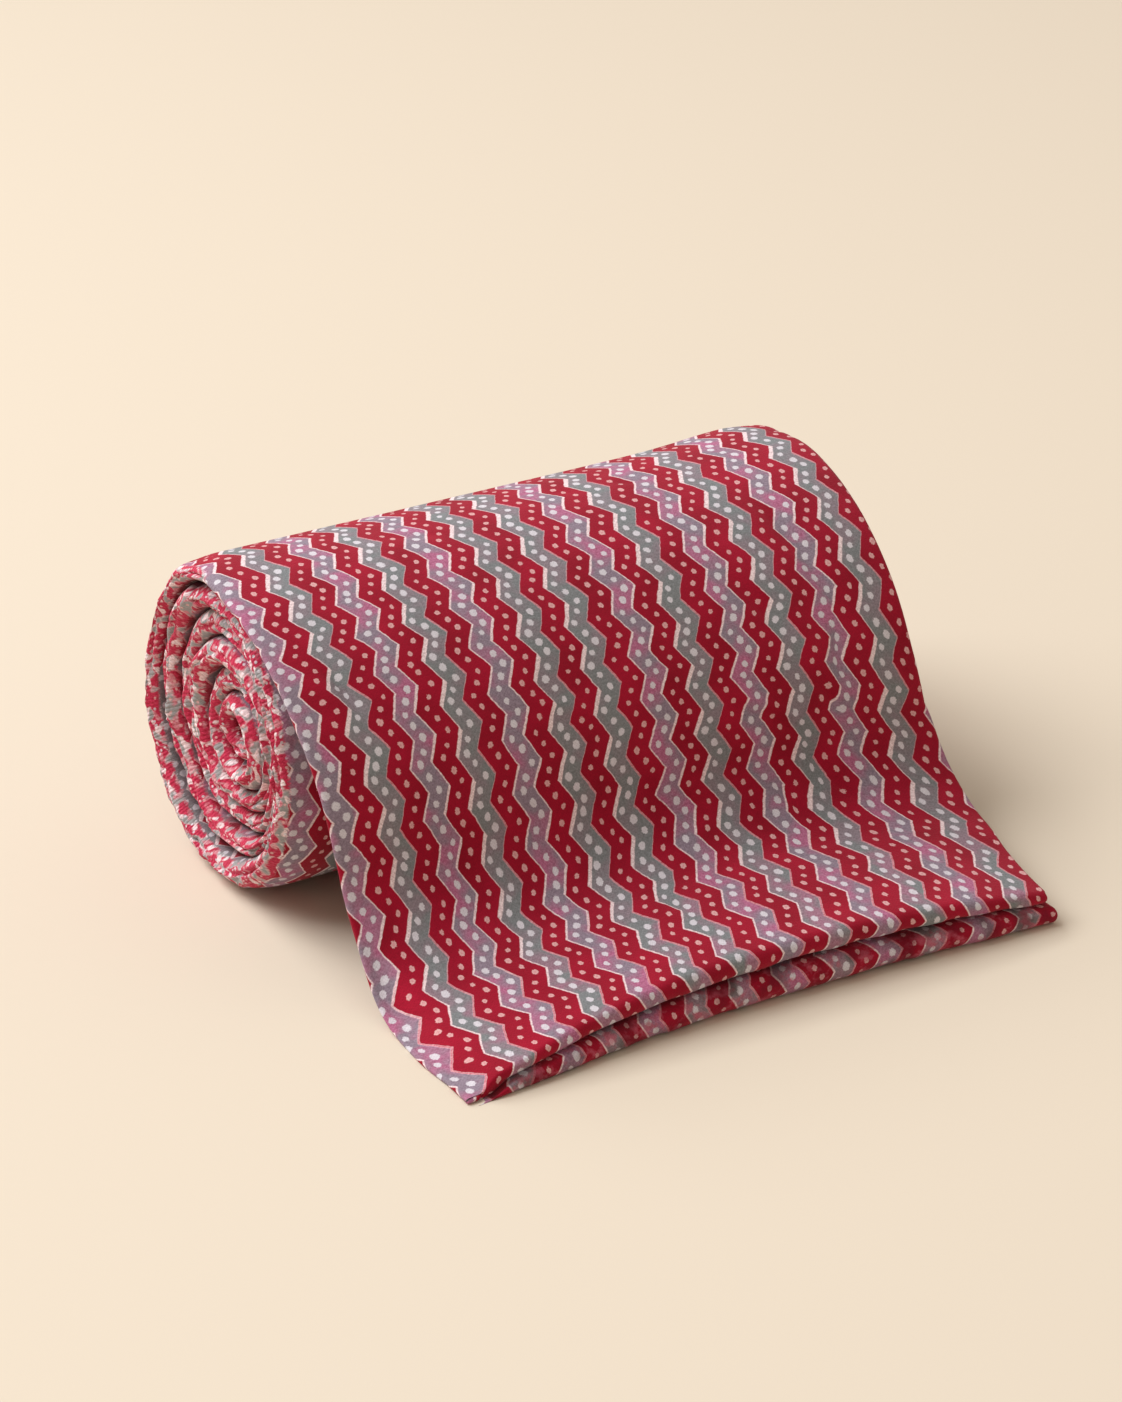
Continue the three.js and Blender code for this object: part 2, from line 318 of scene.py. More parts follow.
def edge_relief(length, angle, thickness, front, seed):
    """How the gathered edge departs from a plain half ellipse, in mm outwards.

    The sum of noise and lobes less a notch, times the sine of the angle round the edge.
    Lumps 11 mm long, lobes 7 mm long with sharp creases between them that lean across the edge, and
    a notch along the middle between two folded edges, deepest where the turn is at the front.
    """
    around = angle * thickness / 9
    still = 0 * angle
    lumps = 1.6 * soft_noise(length / 11, around + 40, seed)
    fine = 0.25 * soft_noise(length / 4.2, around * 2 + 9, seed + 1)
    middle = np.pi / 2 + 0.35 * soft_noise(length / 24, still, seed + 2)
    depth = 1.0 + 1.4 * soft_noise(length / 26, still + 5, seed + 3) + 2.6 * front
    notch = np.exp(-((angle - middle) / 0.26) ** 2) * np.clip(depth, 0, 4)
    lean = 0.5 * angle + 1.7 * soft_noise(length / 18, still + 2, seed + 4)
    strength = 0.5 + 0.5 * soft_noise(length / 15, around + 3, seed + 5)
    lobes = 1.5 * strength * (np.abs(np.sin(np.pi * (length / 7.2 + lean))) ** 0.7 - 0.6)
    return (lumps + fine + lobes - notch) * np.sin(angle)


def crest(turns, side):
    """How far along x the end of the roll reaches at each turn.

    It lies further in by as much as the radius shrinks, and unevenly from turn to turn, by a sine
    of the turns. The outer turn flares out over the back and the bottom, by a sine to the power 1.5.
    """
    hollow = END_HOLLOW * (1 - winding_radius(turns) / ROLL_RADIUS)
    uneven = 1.9 * (1 + np.sin(3.9 * turns + side)) * ease((turns - 0.85) / 0.4)
    flare = END_FLARE * np.sin(np.pi * np.clip((turns - 0.02) / 0.86, 0, 1)) ** 1.5
    return HALF_LENGTH - hollow - uneven + flare


def strip_points(y, z, thickness, lift, left, right, bulge, loop, relief, narrowing):
    """Points of a ribbon around its middle line.

    A face lies half the thickness out, and an edge is half an ellipse as high as the thickness and as
    wide as the bulge, with the relief added along x. The ellipse's height goes as the cosine to the
    power of 1 plus the narrowing.
    """
    across, angle, side = loop
    normal_y, normal_z = outward(y, z)
    cosine = np.cos(angle)
    half = thickness / 2 * np.sign(cosine) * np.abs(cosine) ** (1 + narrowing) + lift
    face_left = left + bulge
    face_right = right - bulge
    out = bulge * np.sin(angle) + relief
    x = face_left + (face_right - face_left) * across + side * out
    return np.stack([x + 0 * y, y + normal_y * half, z + normal_z * half], -1)


def edge_bulge(thickness):
    """How far an edge's rounding reaches: a share of the thickness, up to the widest bulge."""
    return np.minimum(WIDEST_BULGE, BULGE_SHARE * thickness)


def round_print(x, loop, bulge, thickness):
    """The print's place across: on along the outer face, round the right edge and back below.

    The left edge and the left half of the inner face count backwards from the outer face's left
    end instead, so the print runs round both edges without a jump. Also gives the column
    where the two ways meet on the inner face.
    """
    across, angle, side = loop
    girth = (bulge + thickness / 2) / 2
    inner = (side == 0) & (angle > 0)
    right_half = inner & (across > 0.5)
    left_half = inner & (across <= 0.5)
    last_column = int(np.sum((side == 0) & ~inner)) - 1
    left_x = x[:, :1]
    right_x = x[:, last_column:last_column + 1]
    u = (x - PRINT_START) / STRIPE_PAIR
    first = u[:, :1]
    last = u[:, last_column:last_column + 1]
    u = np.where(side > 0, last + girth * angle / STRIPE_PAIR, u)
    u = np.where(side < 0, first - girth * angle / STRIPE_PAIR, u)
    u = np.where(right_half, last + (girth * np.pi + right_x - x) / STRIPE_PAIR, u)
    u = np.where(left_half, first - (girth * np.pi + x - left_x) / STRIPE_PAIR, u)
    return u, int(np.max(np.nonzero(right_half)))


# How the print lies on the loose end: at these lengths from the top and places along the roll, how
# far the stripes lie to the side of even spacing, in mm, and the count of zigzags so far
PRINT_LENGTHS = np.array([-120, 0, 50, 100, 150, 190, 230, 285])
PRINT_PLACES = np.array([-126, -62, 30, 85, 139])
STRIPE_SHIFT = np.array([
    (-1.0, -4.0, -7.0, -7.0, -6.0),
    (-6.5, -8.6, -9.6, -8.5, -7.0),
    (-5.1, -8.0, -9.3, -8.2, -6.9),
    (-3.9, -6.8, -8.3, -8.0, -8.2),
    (0.5, -5.8, -8.6, -9.8, -7.9),
    (3.0, -3.8, -7.0, -7.6, -4.0),
    (-2.2, -7.8, -9.4, -7.0, -4.0),
    (0.5, -5.5, -10.2, -10.5, -11.5)])
ZIGZAG_COUNT = np.array([
    (-6.2, -6.2, -6.2, -6.2, -6.2),
    (-0.34, -0.34, -0.34, -0.34, -0.3),
    (2.0, 2.1, 2.12, 2.15, 2.2),
    (4.8, 4.75, 4.65, 4.6, 4.55),
    (7.2, 7.15, 7.29, 7.1, 6.55),
    (9.05, 8.85, 9.28, 9.0, 8.35),
    (10.75, 10.55, 11.05, 10.75, 10.1),
    (13.1, 13.0, 13.3, 13.0, 12.3)])


def print_lay(length, places, table):
    """How the print lies, at each length from the top and each place along the roll.

    A smooth curve through the table's rows, by length, of smooth curves through its columns.
    """
    along = knot_weights(np.clip(length, PRINT_LENGTHS[0], PRINT_LENGTHS[-1]), PRINT_LENGTHS)
    across = knot_weights(places, PRINT_PLACES)
    return np.einsum("nck,km,cm->nc", along, table, across)


# Places of the loose end's edges along its path, as (share of the path, x): the arch is 0 to 1, the
# sweep 1 to 2, the top layer 2 to 3, and the folded layers follow
LEFT_EDGE = np.array([
    (-0.12, -140.5), (0, -141.5), (0.1, -142.5), (0.2, -143), (0.5, -142.2), (0.7, -141.2), (0.9, -139),
    (1.07, -137.2), (1.3, -137), (1.6, -138.2), (2, -139), (2.3, -139.2), (2.7, -137.6), (3, -137.4),
    (3.6, -136.6), (4, -131), (4.3, -126), (6.6, -126), (7, -130), (7.5, -133.6), (8, -130), (8.4, -126),
    (9, -126)])
RIGHT_EDGE = np.array([
    (-0.12, 140.5), (0, 141.5), (0.12, 141.2), (0.3, 139.6), (0.5, 138.4), (0.7, 138.2), (0.85, 138.8),
    (0.95, 140.6), (1.1, 144.4), (1.3, 146.4), (1.6, 147), (2, 144.6), (2.4, 139.2), (2.8, 135.2),
    (3, 134.0), (3.6, 134.2), (4, 134.6), (6.5, 135.8), (7.5, 137.6), (8, 137.4), (9, 136)])
JOINED_EDGE = 140.0


def strip_edge(share, side):
    """Place of the strip's left or right edge: the roll's crest, then the loose end's own places.

    Where the loose end begins, the crest is eased to the edge of the joint.
    """
    table = LEFT_EDGE if side < 0 else RIGHT_EDGE
    settled = ease((-share - 0.1) / 0.15)
    wound = settled * crest(np.clip(-share, 0, None), side) + (1 - settled) * JOINED_EDGE
    return np.where(share < table[0, 0], side * wound, curve(share, *table.T))


# The left corner of the stack: where the lower fold runs out and the top layer comes down over it
LOWER_FOLD_FADES = (-125, -137)
TOP_COMES_DOWN = (-129, -137.5)
CORNER_THICKNESS = 2.2
CORNER_HEIGHT = 1.2

# Soft creases of the arch and the sweep: place along the roll, length from the top, direction in
# degrees from the path, half length, half width and height in mm
CREASES = np.array([
    (-118, 96, 20, 16, 3.2, -1.2),
    (-52, 30, 70, 12, 3.0, -0.8),
    (-62, 118, 40, 14, 3.4, -0.8),
    (80, 118, 30, 24, 4.0, -1.6),
    (88, 128, 28, 20, 4.5, 1.2),
    (104, 90, 14, 26, 4.0, -1.3),
    (2, 176, 35, 16, 4.0, -1.0),
    (14, 196, -50, 12, 3.0, 0.9),
    (62, 150, 60, 14, 2.6, 0.9),
    (70, 160, 55, 12, 2.4, -0.9),
    (-30, 128, 65, 10, 2.6, 0.7),
    (20, 20, 60, 10, 3.0, -0.8)])


def crease_lift(x, length):
    """Height of the creases: each is a bell curve across its width times one along its length."""
    total = np.zeros(np.broadcast(x, length).shape)
    for place, start, lean, half_length, half_width, height in CREASES:
        turn = np.radians(lean)
        along = (length - start) * np.cos(turn) + (x - place) * np.sin(turn)
        over = (x - place) * np.cos(turn) - (length - start) * np.sin(turn)
        total += height * np.exp(-(along / half_length) ** 2 - (over / half_width) ** 2)
    return total


# Tucks, where the cloth is pinched and the print jumps: place, length from the top, direction in
# degrees from the path, reach and sideways shift of the print in mm
TUCKS = np.array([
    (103, 137, -12, 10, 1.5),
    (96, 157, 22, 9, -1.3),
    (60, 192, 15, 9, 1.4),
    (77, 182, 0, 8, 1.0),
    (86, 192, 30, 8, -1.1),
    (-14, 229, 20, 10, 1.2),
    (52, 26, 60, 7, 0.9),
    (-117, 98, 15, 9, 0.9)])
TUCK_DEPTH = 1.1
TUCK_HALF_WIDTH = 2.2
TUCK_TURNS_WITHIN = 1.4


def each_tuck(x, length):
    """For each tuck: the distance across it, a bell curve around its middle, and its shift."""
    for place, start, lean, reach, shift in TUCKS:
        turn = np.radians(lean)
        over = (x - place) * np.cos(turn) - (length - start) * np.sin(turn)
        away = np.hypot(x - place, length - start)
        yield over, np.exp(-(away / reach) ** 2), shift


def tuck_shift(x, length):
    """Sideways shift of the print: a hyperbolic tangent across each tuck, times its bell curve."""
    return sum(shift * np.tanh(over / TUCK_TURNS_WITHIN) * near
               for over, near, shift in each_tuck(x, length))


def tuck_lift(x, length):
    """Height of the tucks: a narrow trough along each one, a bell curve across it and along it."""
    return sum(-TUCK_DEPTH * np.exp(-(over / TUCK_HALF_WIDTH) ** 2) * near
               for over, near, _ in each_tuck(x, length))


def settle_corner(x, share, z, thickness):
    """Height and thickness of the folded layers at the left corner.

    The lower fold thins away to nothing towards the corner, and all above it comes down by as much.
    Further out the top layer bends down to the surface and is as thick as one edge of the strip.
    Both begin on the sweep, and both are weighted means of the two heights, by eased shares.
    """
    height = curve(x, SECTIONS[:, 0], SECTIONS[:, 1])
    layer = height / STACK_SHARES
    crease = layer * (2 + LOWER_FOLD_GAP + MIDDLE_GAP / 2)
    fade = ease((x - LOWER_FOLD_FADES[0]) / (LOWER_FOLD_FADES[1] - LOWER_FOLD_FADES[0]))
    begun = ease((share - 1.4) / 0.6)
    z = z - begun * crease * 0.96 * fade * np.clip(z / crease, 0, 1)
    lower = share >= 6
    thickness = np.where(lower, thickness * (1 - 0.93 * fade), thickness)
    down = ease((x - TOP_COMES_DOWN[0]) / (TOP_COMES_DOWN[1] - TOP_COMES_DOWN[0]))
    down = down * begun * ease((3.9 - share) / 0.6)
    z = z + down * (CORNER_HEIGHT - z)
    thickness = thickness + down * (CORNER_THICKNESS - thickness)
    return z, thickness


# The hump at the right end of the roll's top: place along the roll, length from the top, half
# width, half length and height in mm
HUMP = (132, -15, 32, 46, 2.4)
CREASE_STRENGTH = 1.3

# Heights of the cloth's unevenness in mm
RIM_UNEVENNESS = 0.9
BROAD_WAVES = 0.55
NARROW_WAVES = 0.22
FOLD_LUMPS = 0.55
FINE_LUMPS = 0.30


def on_roll(share):
    """1 on the roll and 0 on the loose end, eased from one to the other at the start of the arch."""
    return ease((0.25 - share) / 0.35)


def free_cloth(share):
    """1 over the arch and the sweep, eased to 0 at the roll and towards the upper fold."""
    return ease((share + 0.02) / 0.3) * ease((3 - share) / 0.8)


def strip_lift(loop, section_x, length, share, thickness):
    """How far the strip's faces rise above their smooth form, in mm.

    The sum of: the roll's rims, rounded off by the square of how near the end is, and a little
    uneven; broad and narrow waves, creases and tucks on the arch and the sweep; a low hump, shaped
    as a bell curve; and lumps on the folded layers, finer ones on the lower of them.
    """
    across, angle, _ = loop
    from_end = np.minimum(across, 1 - across) * 2 * HALF_LENGTH
    rim = np.clip(1 - from_end / RIM_WIDTH, 0, 1) ** 2
    outer_rim = rim * (0.5 + 0.5 * np.cos(angle)) * on_roll(share)
    lift = outer_rim * (RIM_UNEVENNESS * soft_noise(length / 5, section_x / 14 + 30, 71) - RIM_INSET)

    waved = ease((share + 0.1) / 0.3) * ease((3.0 - share) / 0.6)
    lift = lift + waved * BROAD_WAVES * soft_noise(section_x / 42 + 3, length / 36, 72)
    lift = lift + waved * NARROW_WAVES * soft_noise(section_x / 15 + 8, length / 17, 73)
    creases = CREASE_STRENGTH * crease_lift(section_x, length) + tuck_lift(section_x, length)
    lift = lift + free_cloth(share) * creases
    place, start, half_width, half_length, height = HUMP
    lift = lift + height * np.exp(-((section_x - place) / half_width) ** 2
                                  - ((length - start) / half_length) ** 2)

    lumpy = ease((share - 2.8) / 0.3) * ease((9 - share) / 0.5) * np.clip(thickness / 4, 0, 1)
    lift = lift + lumpy * FOLD_LUMPS * soft_noise(section_x / 12 + 5, share * 0.8, 74)
    fine = lumpy * ease(share - 6)
    return lift + fine * FINE_LUMPS * soft_noise(section_x / 4.5 + 5, share * 3, 75)


def outer_strip(material):
    """The strip from under the arch, once round the roll, over the arch and through the folds."""
    across, angle, side = edge_loop(116, 14, 32)
    # Columns lie closer together near the edges, most of all on the coarser inner face
    crowding = np.where(side == 0, np.where(angle > 0, 0.8, 0.3), 0)
    across = across - crowding * np.sin(2 * np.pi * across) / (2 * np.pi)
    loop = across, angle, side
    section_x = SECTIONS[0, 0] + (SECTIONS[-1, 0] - SECTIONS[0, 0]) * across
    turns = np.linspace(JOIN_TURN, 0, OUTER_STEPS, endpoint=False)[:, None] + 0 * section_x
    wound = wound_line(turns)
    loose = loose_line(section_x, LOOSE_STEPS)
    y, z, thickness = (np.concatenate(pair) for pair in zip(wound, loose))

    counts = [LOOSE_STEPS[part] for part in LOOSE_PARTS]
    shares = [number + np.arange(count) / count for number, count in enumerate(counts)]
    share = np.concatenate([-turns[:, 0]] + shares)[:, None]
    z, thickness = settle_corner(section_x, share, z, thickness)
    bulge = edge_bulge(thickness)

    normal_y, normal_z = outward(y, z)
    length = path_length(y + normal_y * thickness / 2, z + normal_z * thickness / 2)
    length = length - length[OUTER_STEPS]

    front = 0.5 - 0.5 * np.sin(START_ANGLE + 2 * np.pi * np.clip(-share, 0, None))
    relief = np.where(side > 0, edge_relief(length, angle, thickness, front, 50),
                      edge_relief(length, angle, thickness, front, 20))
    relief = relief * (0.12 + 0.88 * on_roll(share)) * np.clip(bulge / 5.5, 0, 1)
    lift = strip_lift(loop, section_x, length, share, thickness)
    points = strip_points(y, z, thickness, lift, strip_edge(share, -1), strip_edge(share, 1), bulge,
                          loop, relief, ROLL_NARROWING * on_roll(share))
    warped_y, warped_z = core_warp(points[..., 1], points[..., 2], points[..., 0])
    warp = ease((-share - 0.5) / 0.2)
    points[..., 1] += warp * (warped_y - points[..., 1])
    points[..., 2] += warp * (warped_z - points[..., 2])
    points[..., 2] = np.maximum(points[..., 2], 0)

    free = free_cloth(share)
    shift = print_lay(length, section_x, STRIPE_SHIFT) - free * tuck_shift(section_x, length)
    shift = shift + free * 0.35 * soft_noise(section_x / 7 + 3, length / 7, 76)
    u, seam = round_print(points[..., 0], loop, bulge, thickness)
    u = u - shift / STRIPE_PAIR
    past_tables = length - np.clip(length, PRINT_LENGTHS[0], PRINT_LENGTHS[-1])
    v = print_lay(length, section_x, ZIGZAG_COUNT) + past_tables / ZIGZAG_LENGTH
    gathered = on_roll(share) * np.clip(np.sin(angle), 0, 1)
    # Where shade is painted: the inner face of the wound outer turn, deep between two turns
    hidden = on_roll(share) * (1 - gathered) * (np.cos(angle) < -0.05)
    return build_ribbon("outer_strip", points, u, v, seam, gathered, hidden, material)


def inner_turns(material):
    """The wound turns inside the outer one, from the joint with it in to the core.

    Steps of equal length need turns that go as the root of the length left to the core.
    """
    across, angle, side = edge_loop(12, 16, 12)
    across = np.where(side == 0, across - 0.8 * np.sin(2 * np.pi * across) / (2 * np.pi), across)
    loop = across, angle, side
    outer_radius, inner_radius = winding_radius(np.array([JOIN_TURN, CORE_TURN]))
    even = np.linspace(0, 1, INNER_STEPS)
    radius = np.sqrt(outer_radius ** 2 + (inner_radius ** 2 - outer_radius ** 2) * even)
    turns = 1 + (ROLL_RADIUS - OUTER_TURN - radius) / INNER_TURN
    turns[0] = JOIN_TURN
    turns = turns[::-1, None] + 0 * across
    y, z, thickness = wound_line(turns)
    thickness = thickness * (1 - 0.25 * ease((turns - 5.2) / 0.5))
    length = path_length(y, z)
    bulge = edge_bulge(thickness)
    front = 0.5 - 0.5 * np.sin(START_ANGLE + 2 * np.pi * turns)
    relief = np.where(side > 0, edge_relief(length, angle, thickness, front, 150),
                      edge_relief(length, angle, thickness, front, 120))
    points = strip_points(y, z, thickness, 0 * y, -crest(turns, -1), crest(turns, 1), bulge, loop,
                          relief, ROLL_NARROWING)
    points[..., 1], points[..., 2] = core_warp(points[..., 1], points[..., 2], points[..., 0])
    u, seam = round_print(points[..., 0], loop, bulge, thickness)
    v = length / ZIGZAG_LENGTH + 0 * across
    gathered = np.clip(np.sin(angle), 0, 1) + 0 * length
    # Where shade is painted: the faces deep between the turns, away from the bunched edges
    return build_ribbon("inner_turns", points, u, v, seam, gathered, 1 - gathered, material)


# The print's colours, as a screen shows them: a darker and a lighter tone of each
TONES = {
    "crimson": ((142, 1, 31), (172, 9, 46)),
    "grey": ((116, 118, 120), (140, 142, 144)),
    "mauve": ((130, 112, 126), (156, 140, 154)),
    "pink": ((170, 66, 110), (206, 118, 156)),
    "cream": ((218, 190, 192), (250, 228, 230)),
    "rose": ((198, 92, 108), (222, 158, 166)),
    "bunched red": ((168, 18, 50), (214, 66, 98)),
}
DOT_ON_GREY = (221, 215, 222)
DOT_ON_RED = (230, 180, 179)
DOT_CENTRE = (190, 80, 92)
RUBBED_PINK = (196, 92, 112)
STAINED_RED = (92, 10, 30)
BUNCHED_GREY = (184, 178, 176)
# Painted shade: a dark red mixed into the colour deep between the turns of the roll, where little light
# reaches
PAINTED_SHADE_BETWEEN_TURNS = (60, 16, 22)
FLOOR_CREAM = (223, 209, 190)

# The print's drawing: how far a zigzag swings, in pairs of stripes, and the dots' radii in mm
HALF_SWING = 0.125
DOTS_IN_ZIGZAG = 4.0
GREY_DOT = 1.5
RED_DOT = 1.15

# Places along the print, in zigzags, where its outlines turn narrow and where the lower fold begins
NARROW_OUTLINES = 10.6
LOWER_FOLD_PRINT = 15.0

# Threads in each unit of the print's map
THREADS = 42.0


def linear(red, green, blue):
    """A screen colour of 0 to 255 a channel, as the linear colour that shaders take."""
    share = np.array([red, green, blue]) / 255
    low = share / 12.92
    high = ((share + 0.055) / 1.055) ** 2.4
    return (*np.where(share <= 0.04045, low, high).tolist(), 1.0)


class Shader:
    """Puts together one material from nodes. Each method adds nodes and returns the last output."""

    def __init__(self, name):
        self.material = bpy.data.materials.new(name)
        self.material.use_nodes = True
        self.tree = self.material.node_tree
        self.surface = self.tree.nodes["Principled BSDF"]

    def add(self, kind, inputs=(), output=0, **settings):
        node = self.tree.nodes.new(kind)
        for key, value in settings.items():
            setattr(node, key, value)
        for key, value in dict(inputs).items():
            self.put(node.inputs[key], value)
        return node.outputs[output]

    def put(self, socket, value):
        if isinstance(value, bpy.types.NodeSocket):
            self.tree.links.new(value, socket)
        else:
            socket.default_value = value

    def math(self, operation, *values):
        return self.add("ShaderNodeMath", enumerate(values), operation=operation)

    def plus(self, a, b):
        return self.math("ADD", a, b)

    def minus(self, a, b):
        return self.math("SUBTRACT", a, b)

    def times(self, a, b):
        return self.math("MULTIPLY", a, b)

    def all_but(self, share):
        """What the share leaves of 1."""
        return self.minus(1.0, share)

    def moved(self, vector, by):
        return self.add("ShaderNodeVectorMath", {0: vector, 1: by}, operation="ADD")

    def scaled(self, vector, by):
        return self.add("ShaderNodeVectorMath", {0: vector, 1: by}, operation="MULTIPLY")

    def split(self, vector):
        """The three parts of a vector or of a colour."""
        outputs = self.add("ShaderNodeSeparateXYZ", {0: vector}).node.outputs
        return outputs[0], outputs[1], outputs[2]

    def step(self, value, edge, softness):
        """Runs from 0 to 1 as the value passes the edge, over twice the softness."""
        span = {"Value": value, "From Min": edge - softness, "From Max": edge + softness}
        return self.add("ShaderNodeMapRange", span)

    def blend(self, share, first, second):
        """A number between two others, by share."""
        return self.add("ShaderNodeMapRange", {"Value": share, "To Min": first, "To Max": second})

    def noise(self, vector, scale, detail=2.0, output=0, **inputs):
        values = {"Vector": vector, "Scale": scale, "Detail": detail, **inputs}
        return self.add("ShaderNodeTexNoise", values, output)

    def mix(self, share, first, second):
        """A colour between two others, by share."""
        node = self.tree.nodes.new("ShaderNodeMix")
        node.data_type = "RGBA"
        self.put(node.inputs[0], share)
        self.put(node.inputs[6], first)
        self.put(node.inputs[7], second)
        return node.outputs[2]

    def tone(self, name, value, edge, softness):
        """One of the print's colours, from its darker to its lighter tone as the value rises."""
        darker, lighter = TONES[name]
        return self.mix(self.step(value, edge, softness), linear(*darker), linear(*lighter))


class PrintedCotton(Shader):
    """Cotton printed with crimson and grey zigzag stripes, edged in cream and pink, with dots.

    In the map named print, the place across, u, counts pairs of stripes, and the place along, v,
    counts zigzags.
    """

    def __init__(self):
        super().__init__("printed_cotton")
        self.place = self.add("ShaderNodeUVMap", uv_map="print")
        self.plain_u, self.plain_v, _ = self.split(self.place)
        self.u, self.v = self.hand_painted()
        self.gathered = self.add("ShaderNodeAttribute", output=2, attribute_name="gathered")
        self.speckle = self.noise(self.place, 21.0, 3.0, Roughness=0.7)
        self.cloud = self.noise(self.moved(self.place, (7.3, 2.1, 0)), 1.5, 2.0)
        self.grey = self.tone("grey", self.speckle, 0.5, 0.22)
        self.cream = self.tone("cream", self.speckle, 0.48, 0.15)
        self.rose = self.tone("rose", self.speckle, 0.5, 0.2)
        colour = self.dotted(self.striped())
        colour = self.bunched(self.worn(colour))
        self.put(self.surface.inputs["Base Color"], self.hatched(colour))
        self.woven()

    def hand_painted(self):
        """The place in the print, shifted by broad and by fine noise as in a hand-painted edge."""
        broad = self.split(self.noise(self.place, 1.3, 1.0, 1))
        fine = self.split(self.noise(self.place, 9.0, 2.0, 1))

        def wobble(place, axis, broad_amount, fine_amount):
            broad_shift = self.times(self.plus(broad[axis], -0.5), broad_amount)
            fine_shift = self.times(self.plus(fine[axis], -0.5), fine_amount)
            return self.plus(self.plus(place, broad_shift), fine_shift)

        return wobble(self.plain_u, 0, 0.07, 0.035), wobble(self.plain_v, 1, 0.10, 0.035)

    def zigzag(self, place):
        """Runs from 0 at whole counts to 2 halfway between them, times the half swing."""
        return self.times(self.math("PINGPONG", place, 0.5), 4 * HALF_SWING)

    def in_grey(self, place):
        """Above 0 inside a grey stripe, up to a quarter at its middle, and below 0 in a red one."""
        away = self.math("ABSOLUTE", self.plus(self.math("FRACT", self.plus(place, -0.25)), -0.5))
        return self.minus(0.25, away)

    def striped(self):
        """Red and grey stripes in turn, the grey ones outlined in cream on the left.

        Every second grey stripe runs to mauve and pink, and the order changes once, in the middle.
        On the right, grey stripes are outlined in rose, and mauve ones in cream down to the folds.
        """
        edge = self.plus(self.u, self.zigzag(self.v))
        number = self.math("FLOOR", self.plus(edge, -0.25))
        counted = self.plus(number, self.math("GREATER_THAN", number, 4.5))
        mauve = self.math("GREATER_THAN", self.math("FRACT", self.times(counted, 0.5)), 0.25)

        # Outlines are broad on the upright segments over the arch, and narrow and even in the folds
        even = self.step(self.plain_v, NARROW_OUTLINES, 0.9)
        left_width = self.blend(even, self.blend(mauve, 0.056, 0.036), 0.036)
        left_delay = self.blend(even, self.blend(mauve, 0.072, 0.02), 0.0)
        right_width = self.blend(even, self.blend(mauve, 0.020, 0.038), 0.036)
        right_delay = self.blend(even, self.blend(mauve, -0.026, 0.030), 0.0)
        from_left = self.minus(self.plus(self.u, self.zigzag(self.minus(self.v, left_delay))), left_width)
        from_right = self.plus(self.plus(self.u, self.zigzag(self.plus(self.v, right_delay))), right_width)
        stripe = self.step(self.in_grey(edge), 0.0, 0.010)
        past_left = self.step(self.in_grey(from_left), 0.0, 0.010)
        short_of_right = self.step(self.in_grey(from_right), 0.0, 0.010)
        right_outline = self.times(stripe, self.all_but(short_of_right))
        fill = self.times(self.times(stripe, past_left), short_of_right)

        crimson = self.tone("crimson", self.noise(self.place, 0.9, 2.0), 0.5, 0.25)
        most_pink = self.math("MAXIMUM", self.blend(mauve, 0.16, 0.75), self.times(even, 0.5))
        pink_share = self.times(self.step(self.cloud, 0.52, 0.10), most_pink)
        ground = self.mix(mauve, self.grey, self.tone("mauve", self.speckle, 0.5, 0.22))
        ground = self.mix(pink_share, ground, self.tone("pink", self.speckle, 0.5, 0.25))
        right_colour = self.mix(mauve, self.rose, self.mix(even, self.cream, self.rose))
        colour = self.mix(stripe, crimson, self.cream)
        colour = self.mix(right_outline, colour, right_colour)
        return self.mix(fill, colour, ground)

    def dotted(self, colour):
        """Rough dots on the middle line of every stripe, each a little off its place and size."""
        row = self.times(self.math("ROUND", self.times(self.v, DOTS_IN_ZIGZAG)), 1 / DOTS_IN_ZIGZAG)
        doubled = self.times(self.plus(self.u, self.zigzag(row)), 2.0)
        cell = self.math("FLOOR", doubled)
        cell_and_row = self.add("ShaderNodeCombineXYZ", {"X": cell, "Y": row})
        chance = self.split(self.add("ShaderNodeTexWhiteNoise", {"Vector": cell_and_row}, 1,
                                     noise_dimensions="2D"))
        rough = self.split(self.noise(self.place, 34.0, 1.0, 1))

        def off_place(axis, scatter):
            by_chance = self.times(self.plus(chance[axis], -0.5), scatter)
            return self.plus(by_chance, self.times(self.plus(rough[axis], -0.5), 1.1))

        across = self.times(self.plus(self.math("FRACT", doubled), -0.5), STRIPE_PAIR / 2)
        across = self.plus(across, off_place(0, 1.3))
        down = self.plus(self.times(self.minus(self.v, row), ZIGZAG_LENGTH), off_place(1, 1.1))
        squares = self.plus(self.times(across, across), self.times(self.times(down, down), 0.8))
        away = self.math("SQRT", squares)
        in_red = self.math("LESS_THAN", self.math("FRACT", self.times(cell, 0.5)), 0.25)
        size = self.times(self.blend(in_red, GREY_DOT, RED_DOT), self.blend(chance[2], 0.82, 1.12))
        dot = self.step(self.minus(size, away), 0.0, 0.16)
        centre = self.times(self.step(self.minus(self.times(size, 0.4), away), 0.0, 0.3), in_red)
        self.light_dot = self.mix(in_red, linear(*DOT_ON_GREY), linear(*DOT_ON_RED))
        dot_colour = self.mix(self.times(centre, 0.35), self.light_dot, linear(*DOT_CENTRE))
        return self.mix(self.times(dot, 0.9), colour, dot_colour)

    def worn(self, colour):
        """The lower fold at the front is rubbed in places, and stained darker in others."""
        folded = self.step(self.plain_v, LOWER_FOLD_PRINT, 0.6)
        rubbed = self.step(self.noise(self.place, 2.6, 3.0, Roughness=0.65), 0.56, 0.06)
        stained = self.all_but(self.step(self.cloud, 0.45, 0.07))
        colour = self.mix(self.times(self.times(rubbed, folded), 0.65), colour, linear(*RUBBED_PINK))
        return self.mix(self.times(self.times(stained, folded), 0.55), colour, linear(*STAINED_RED))

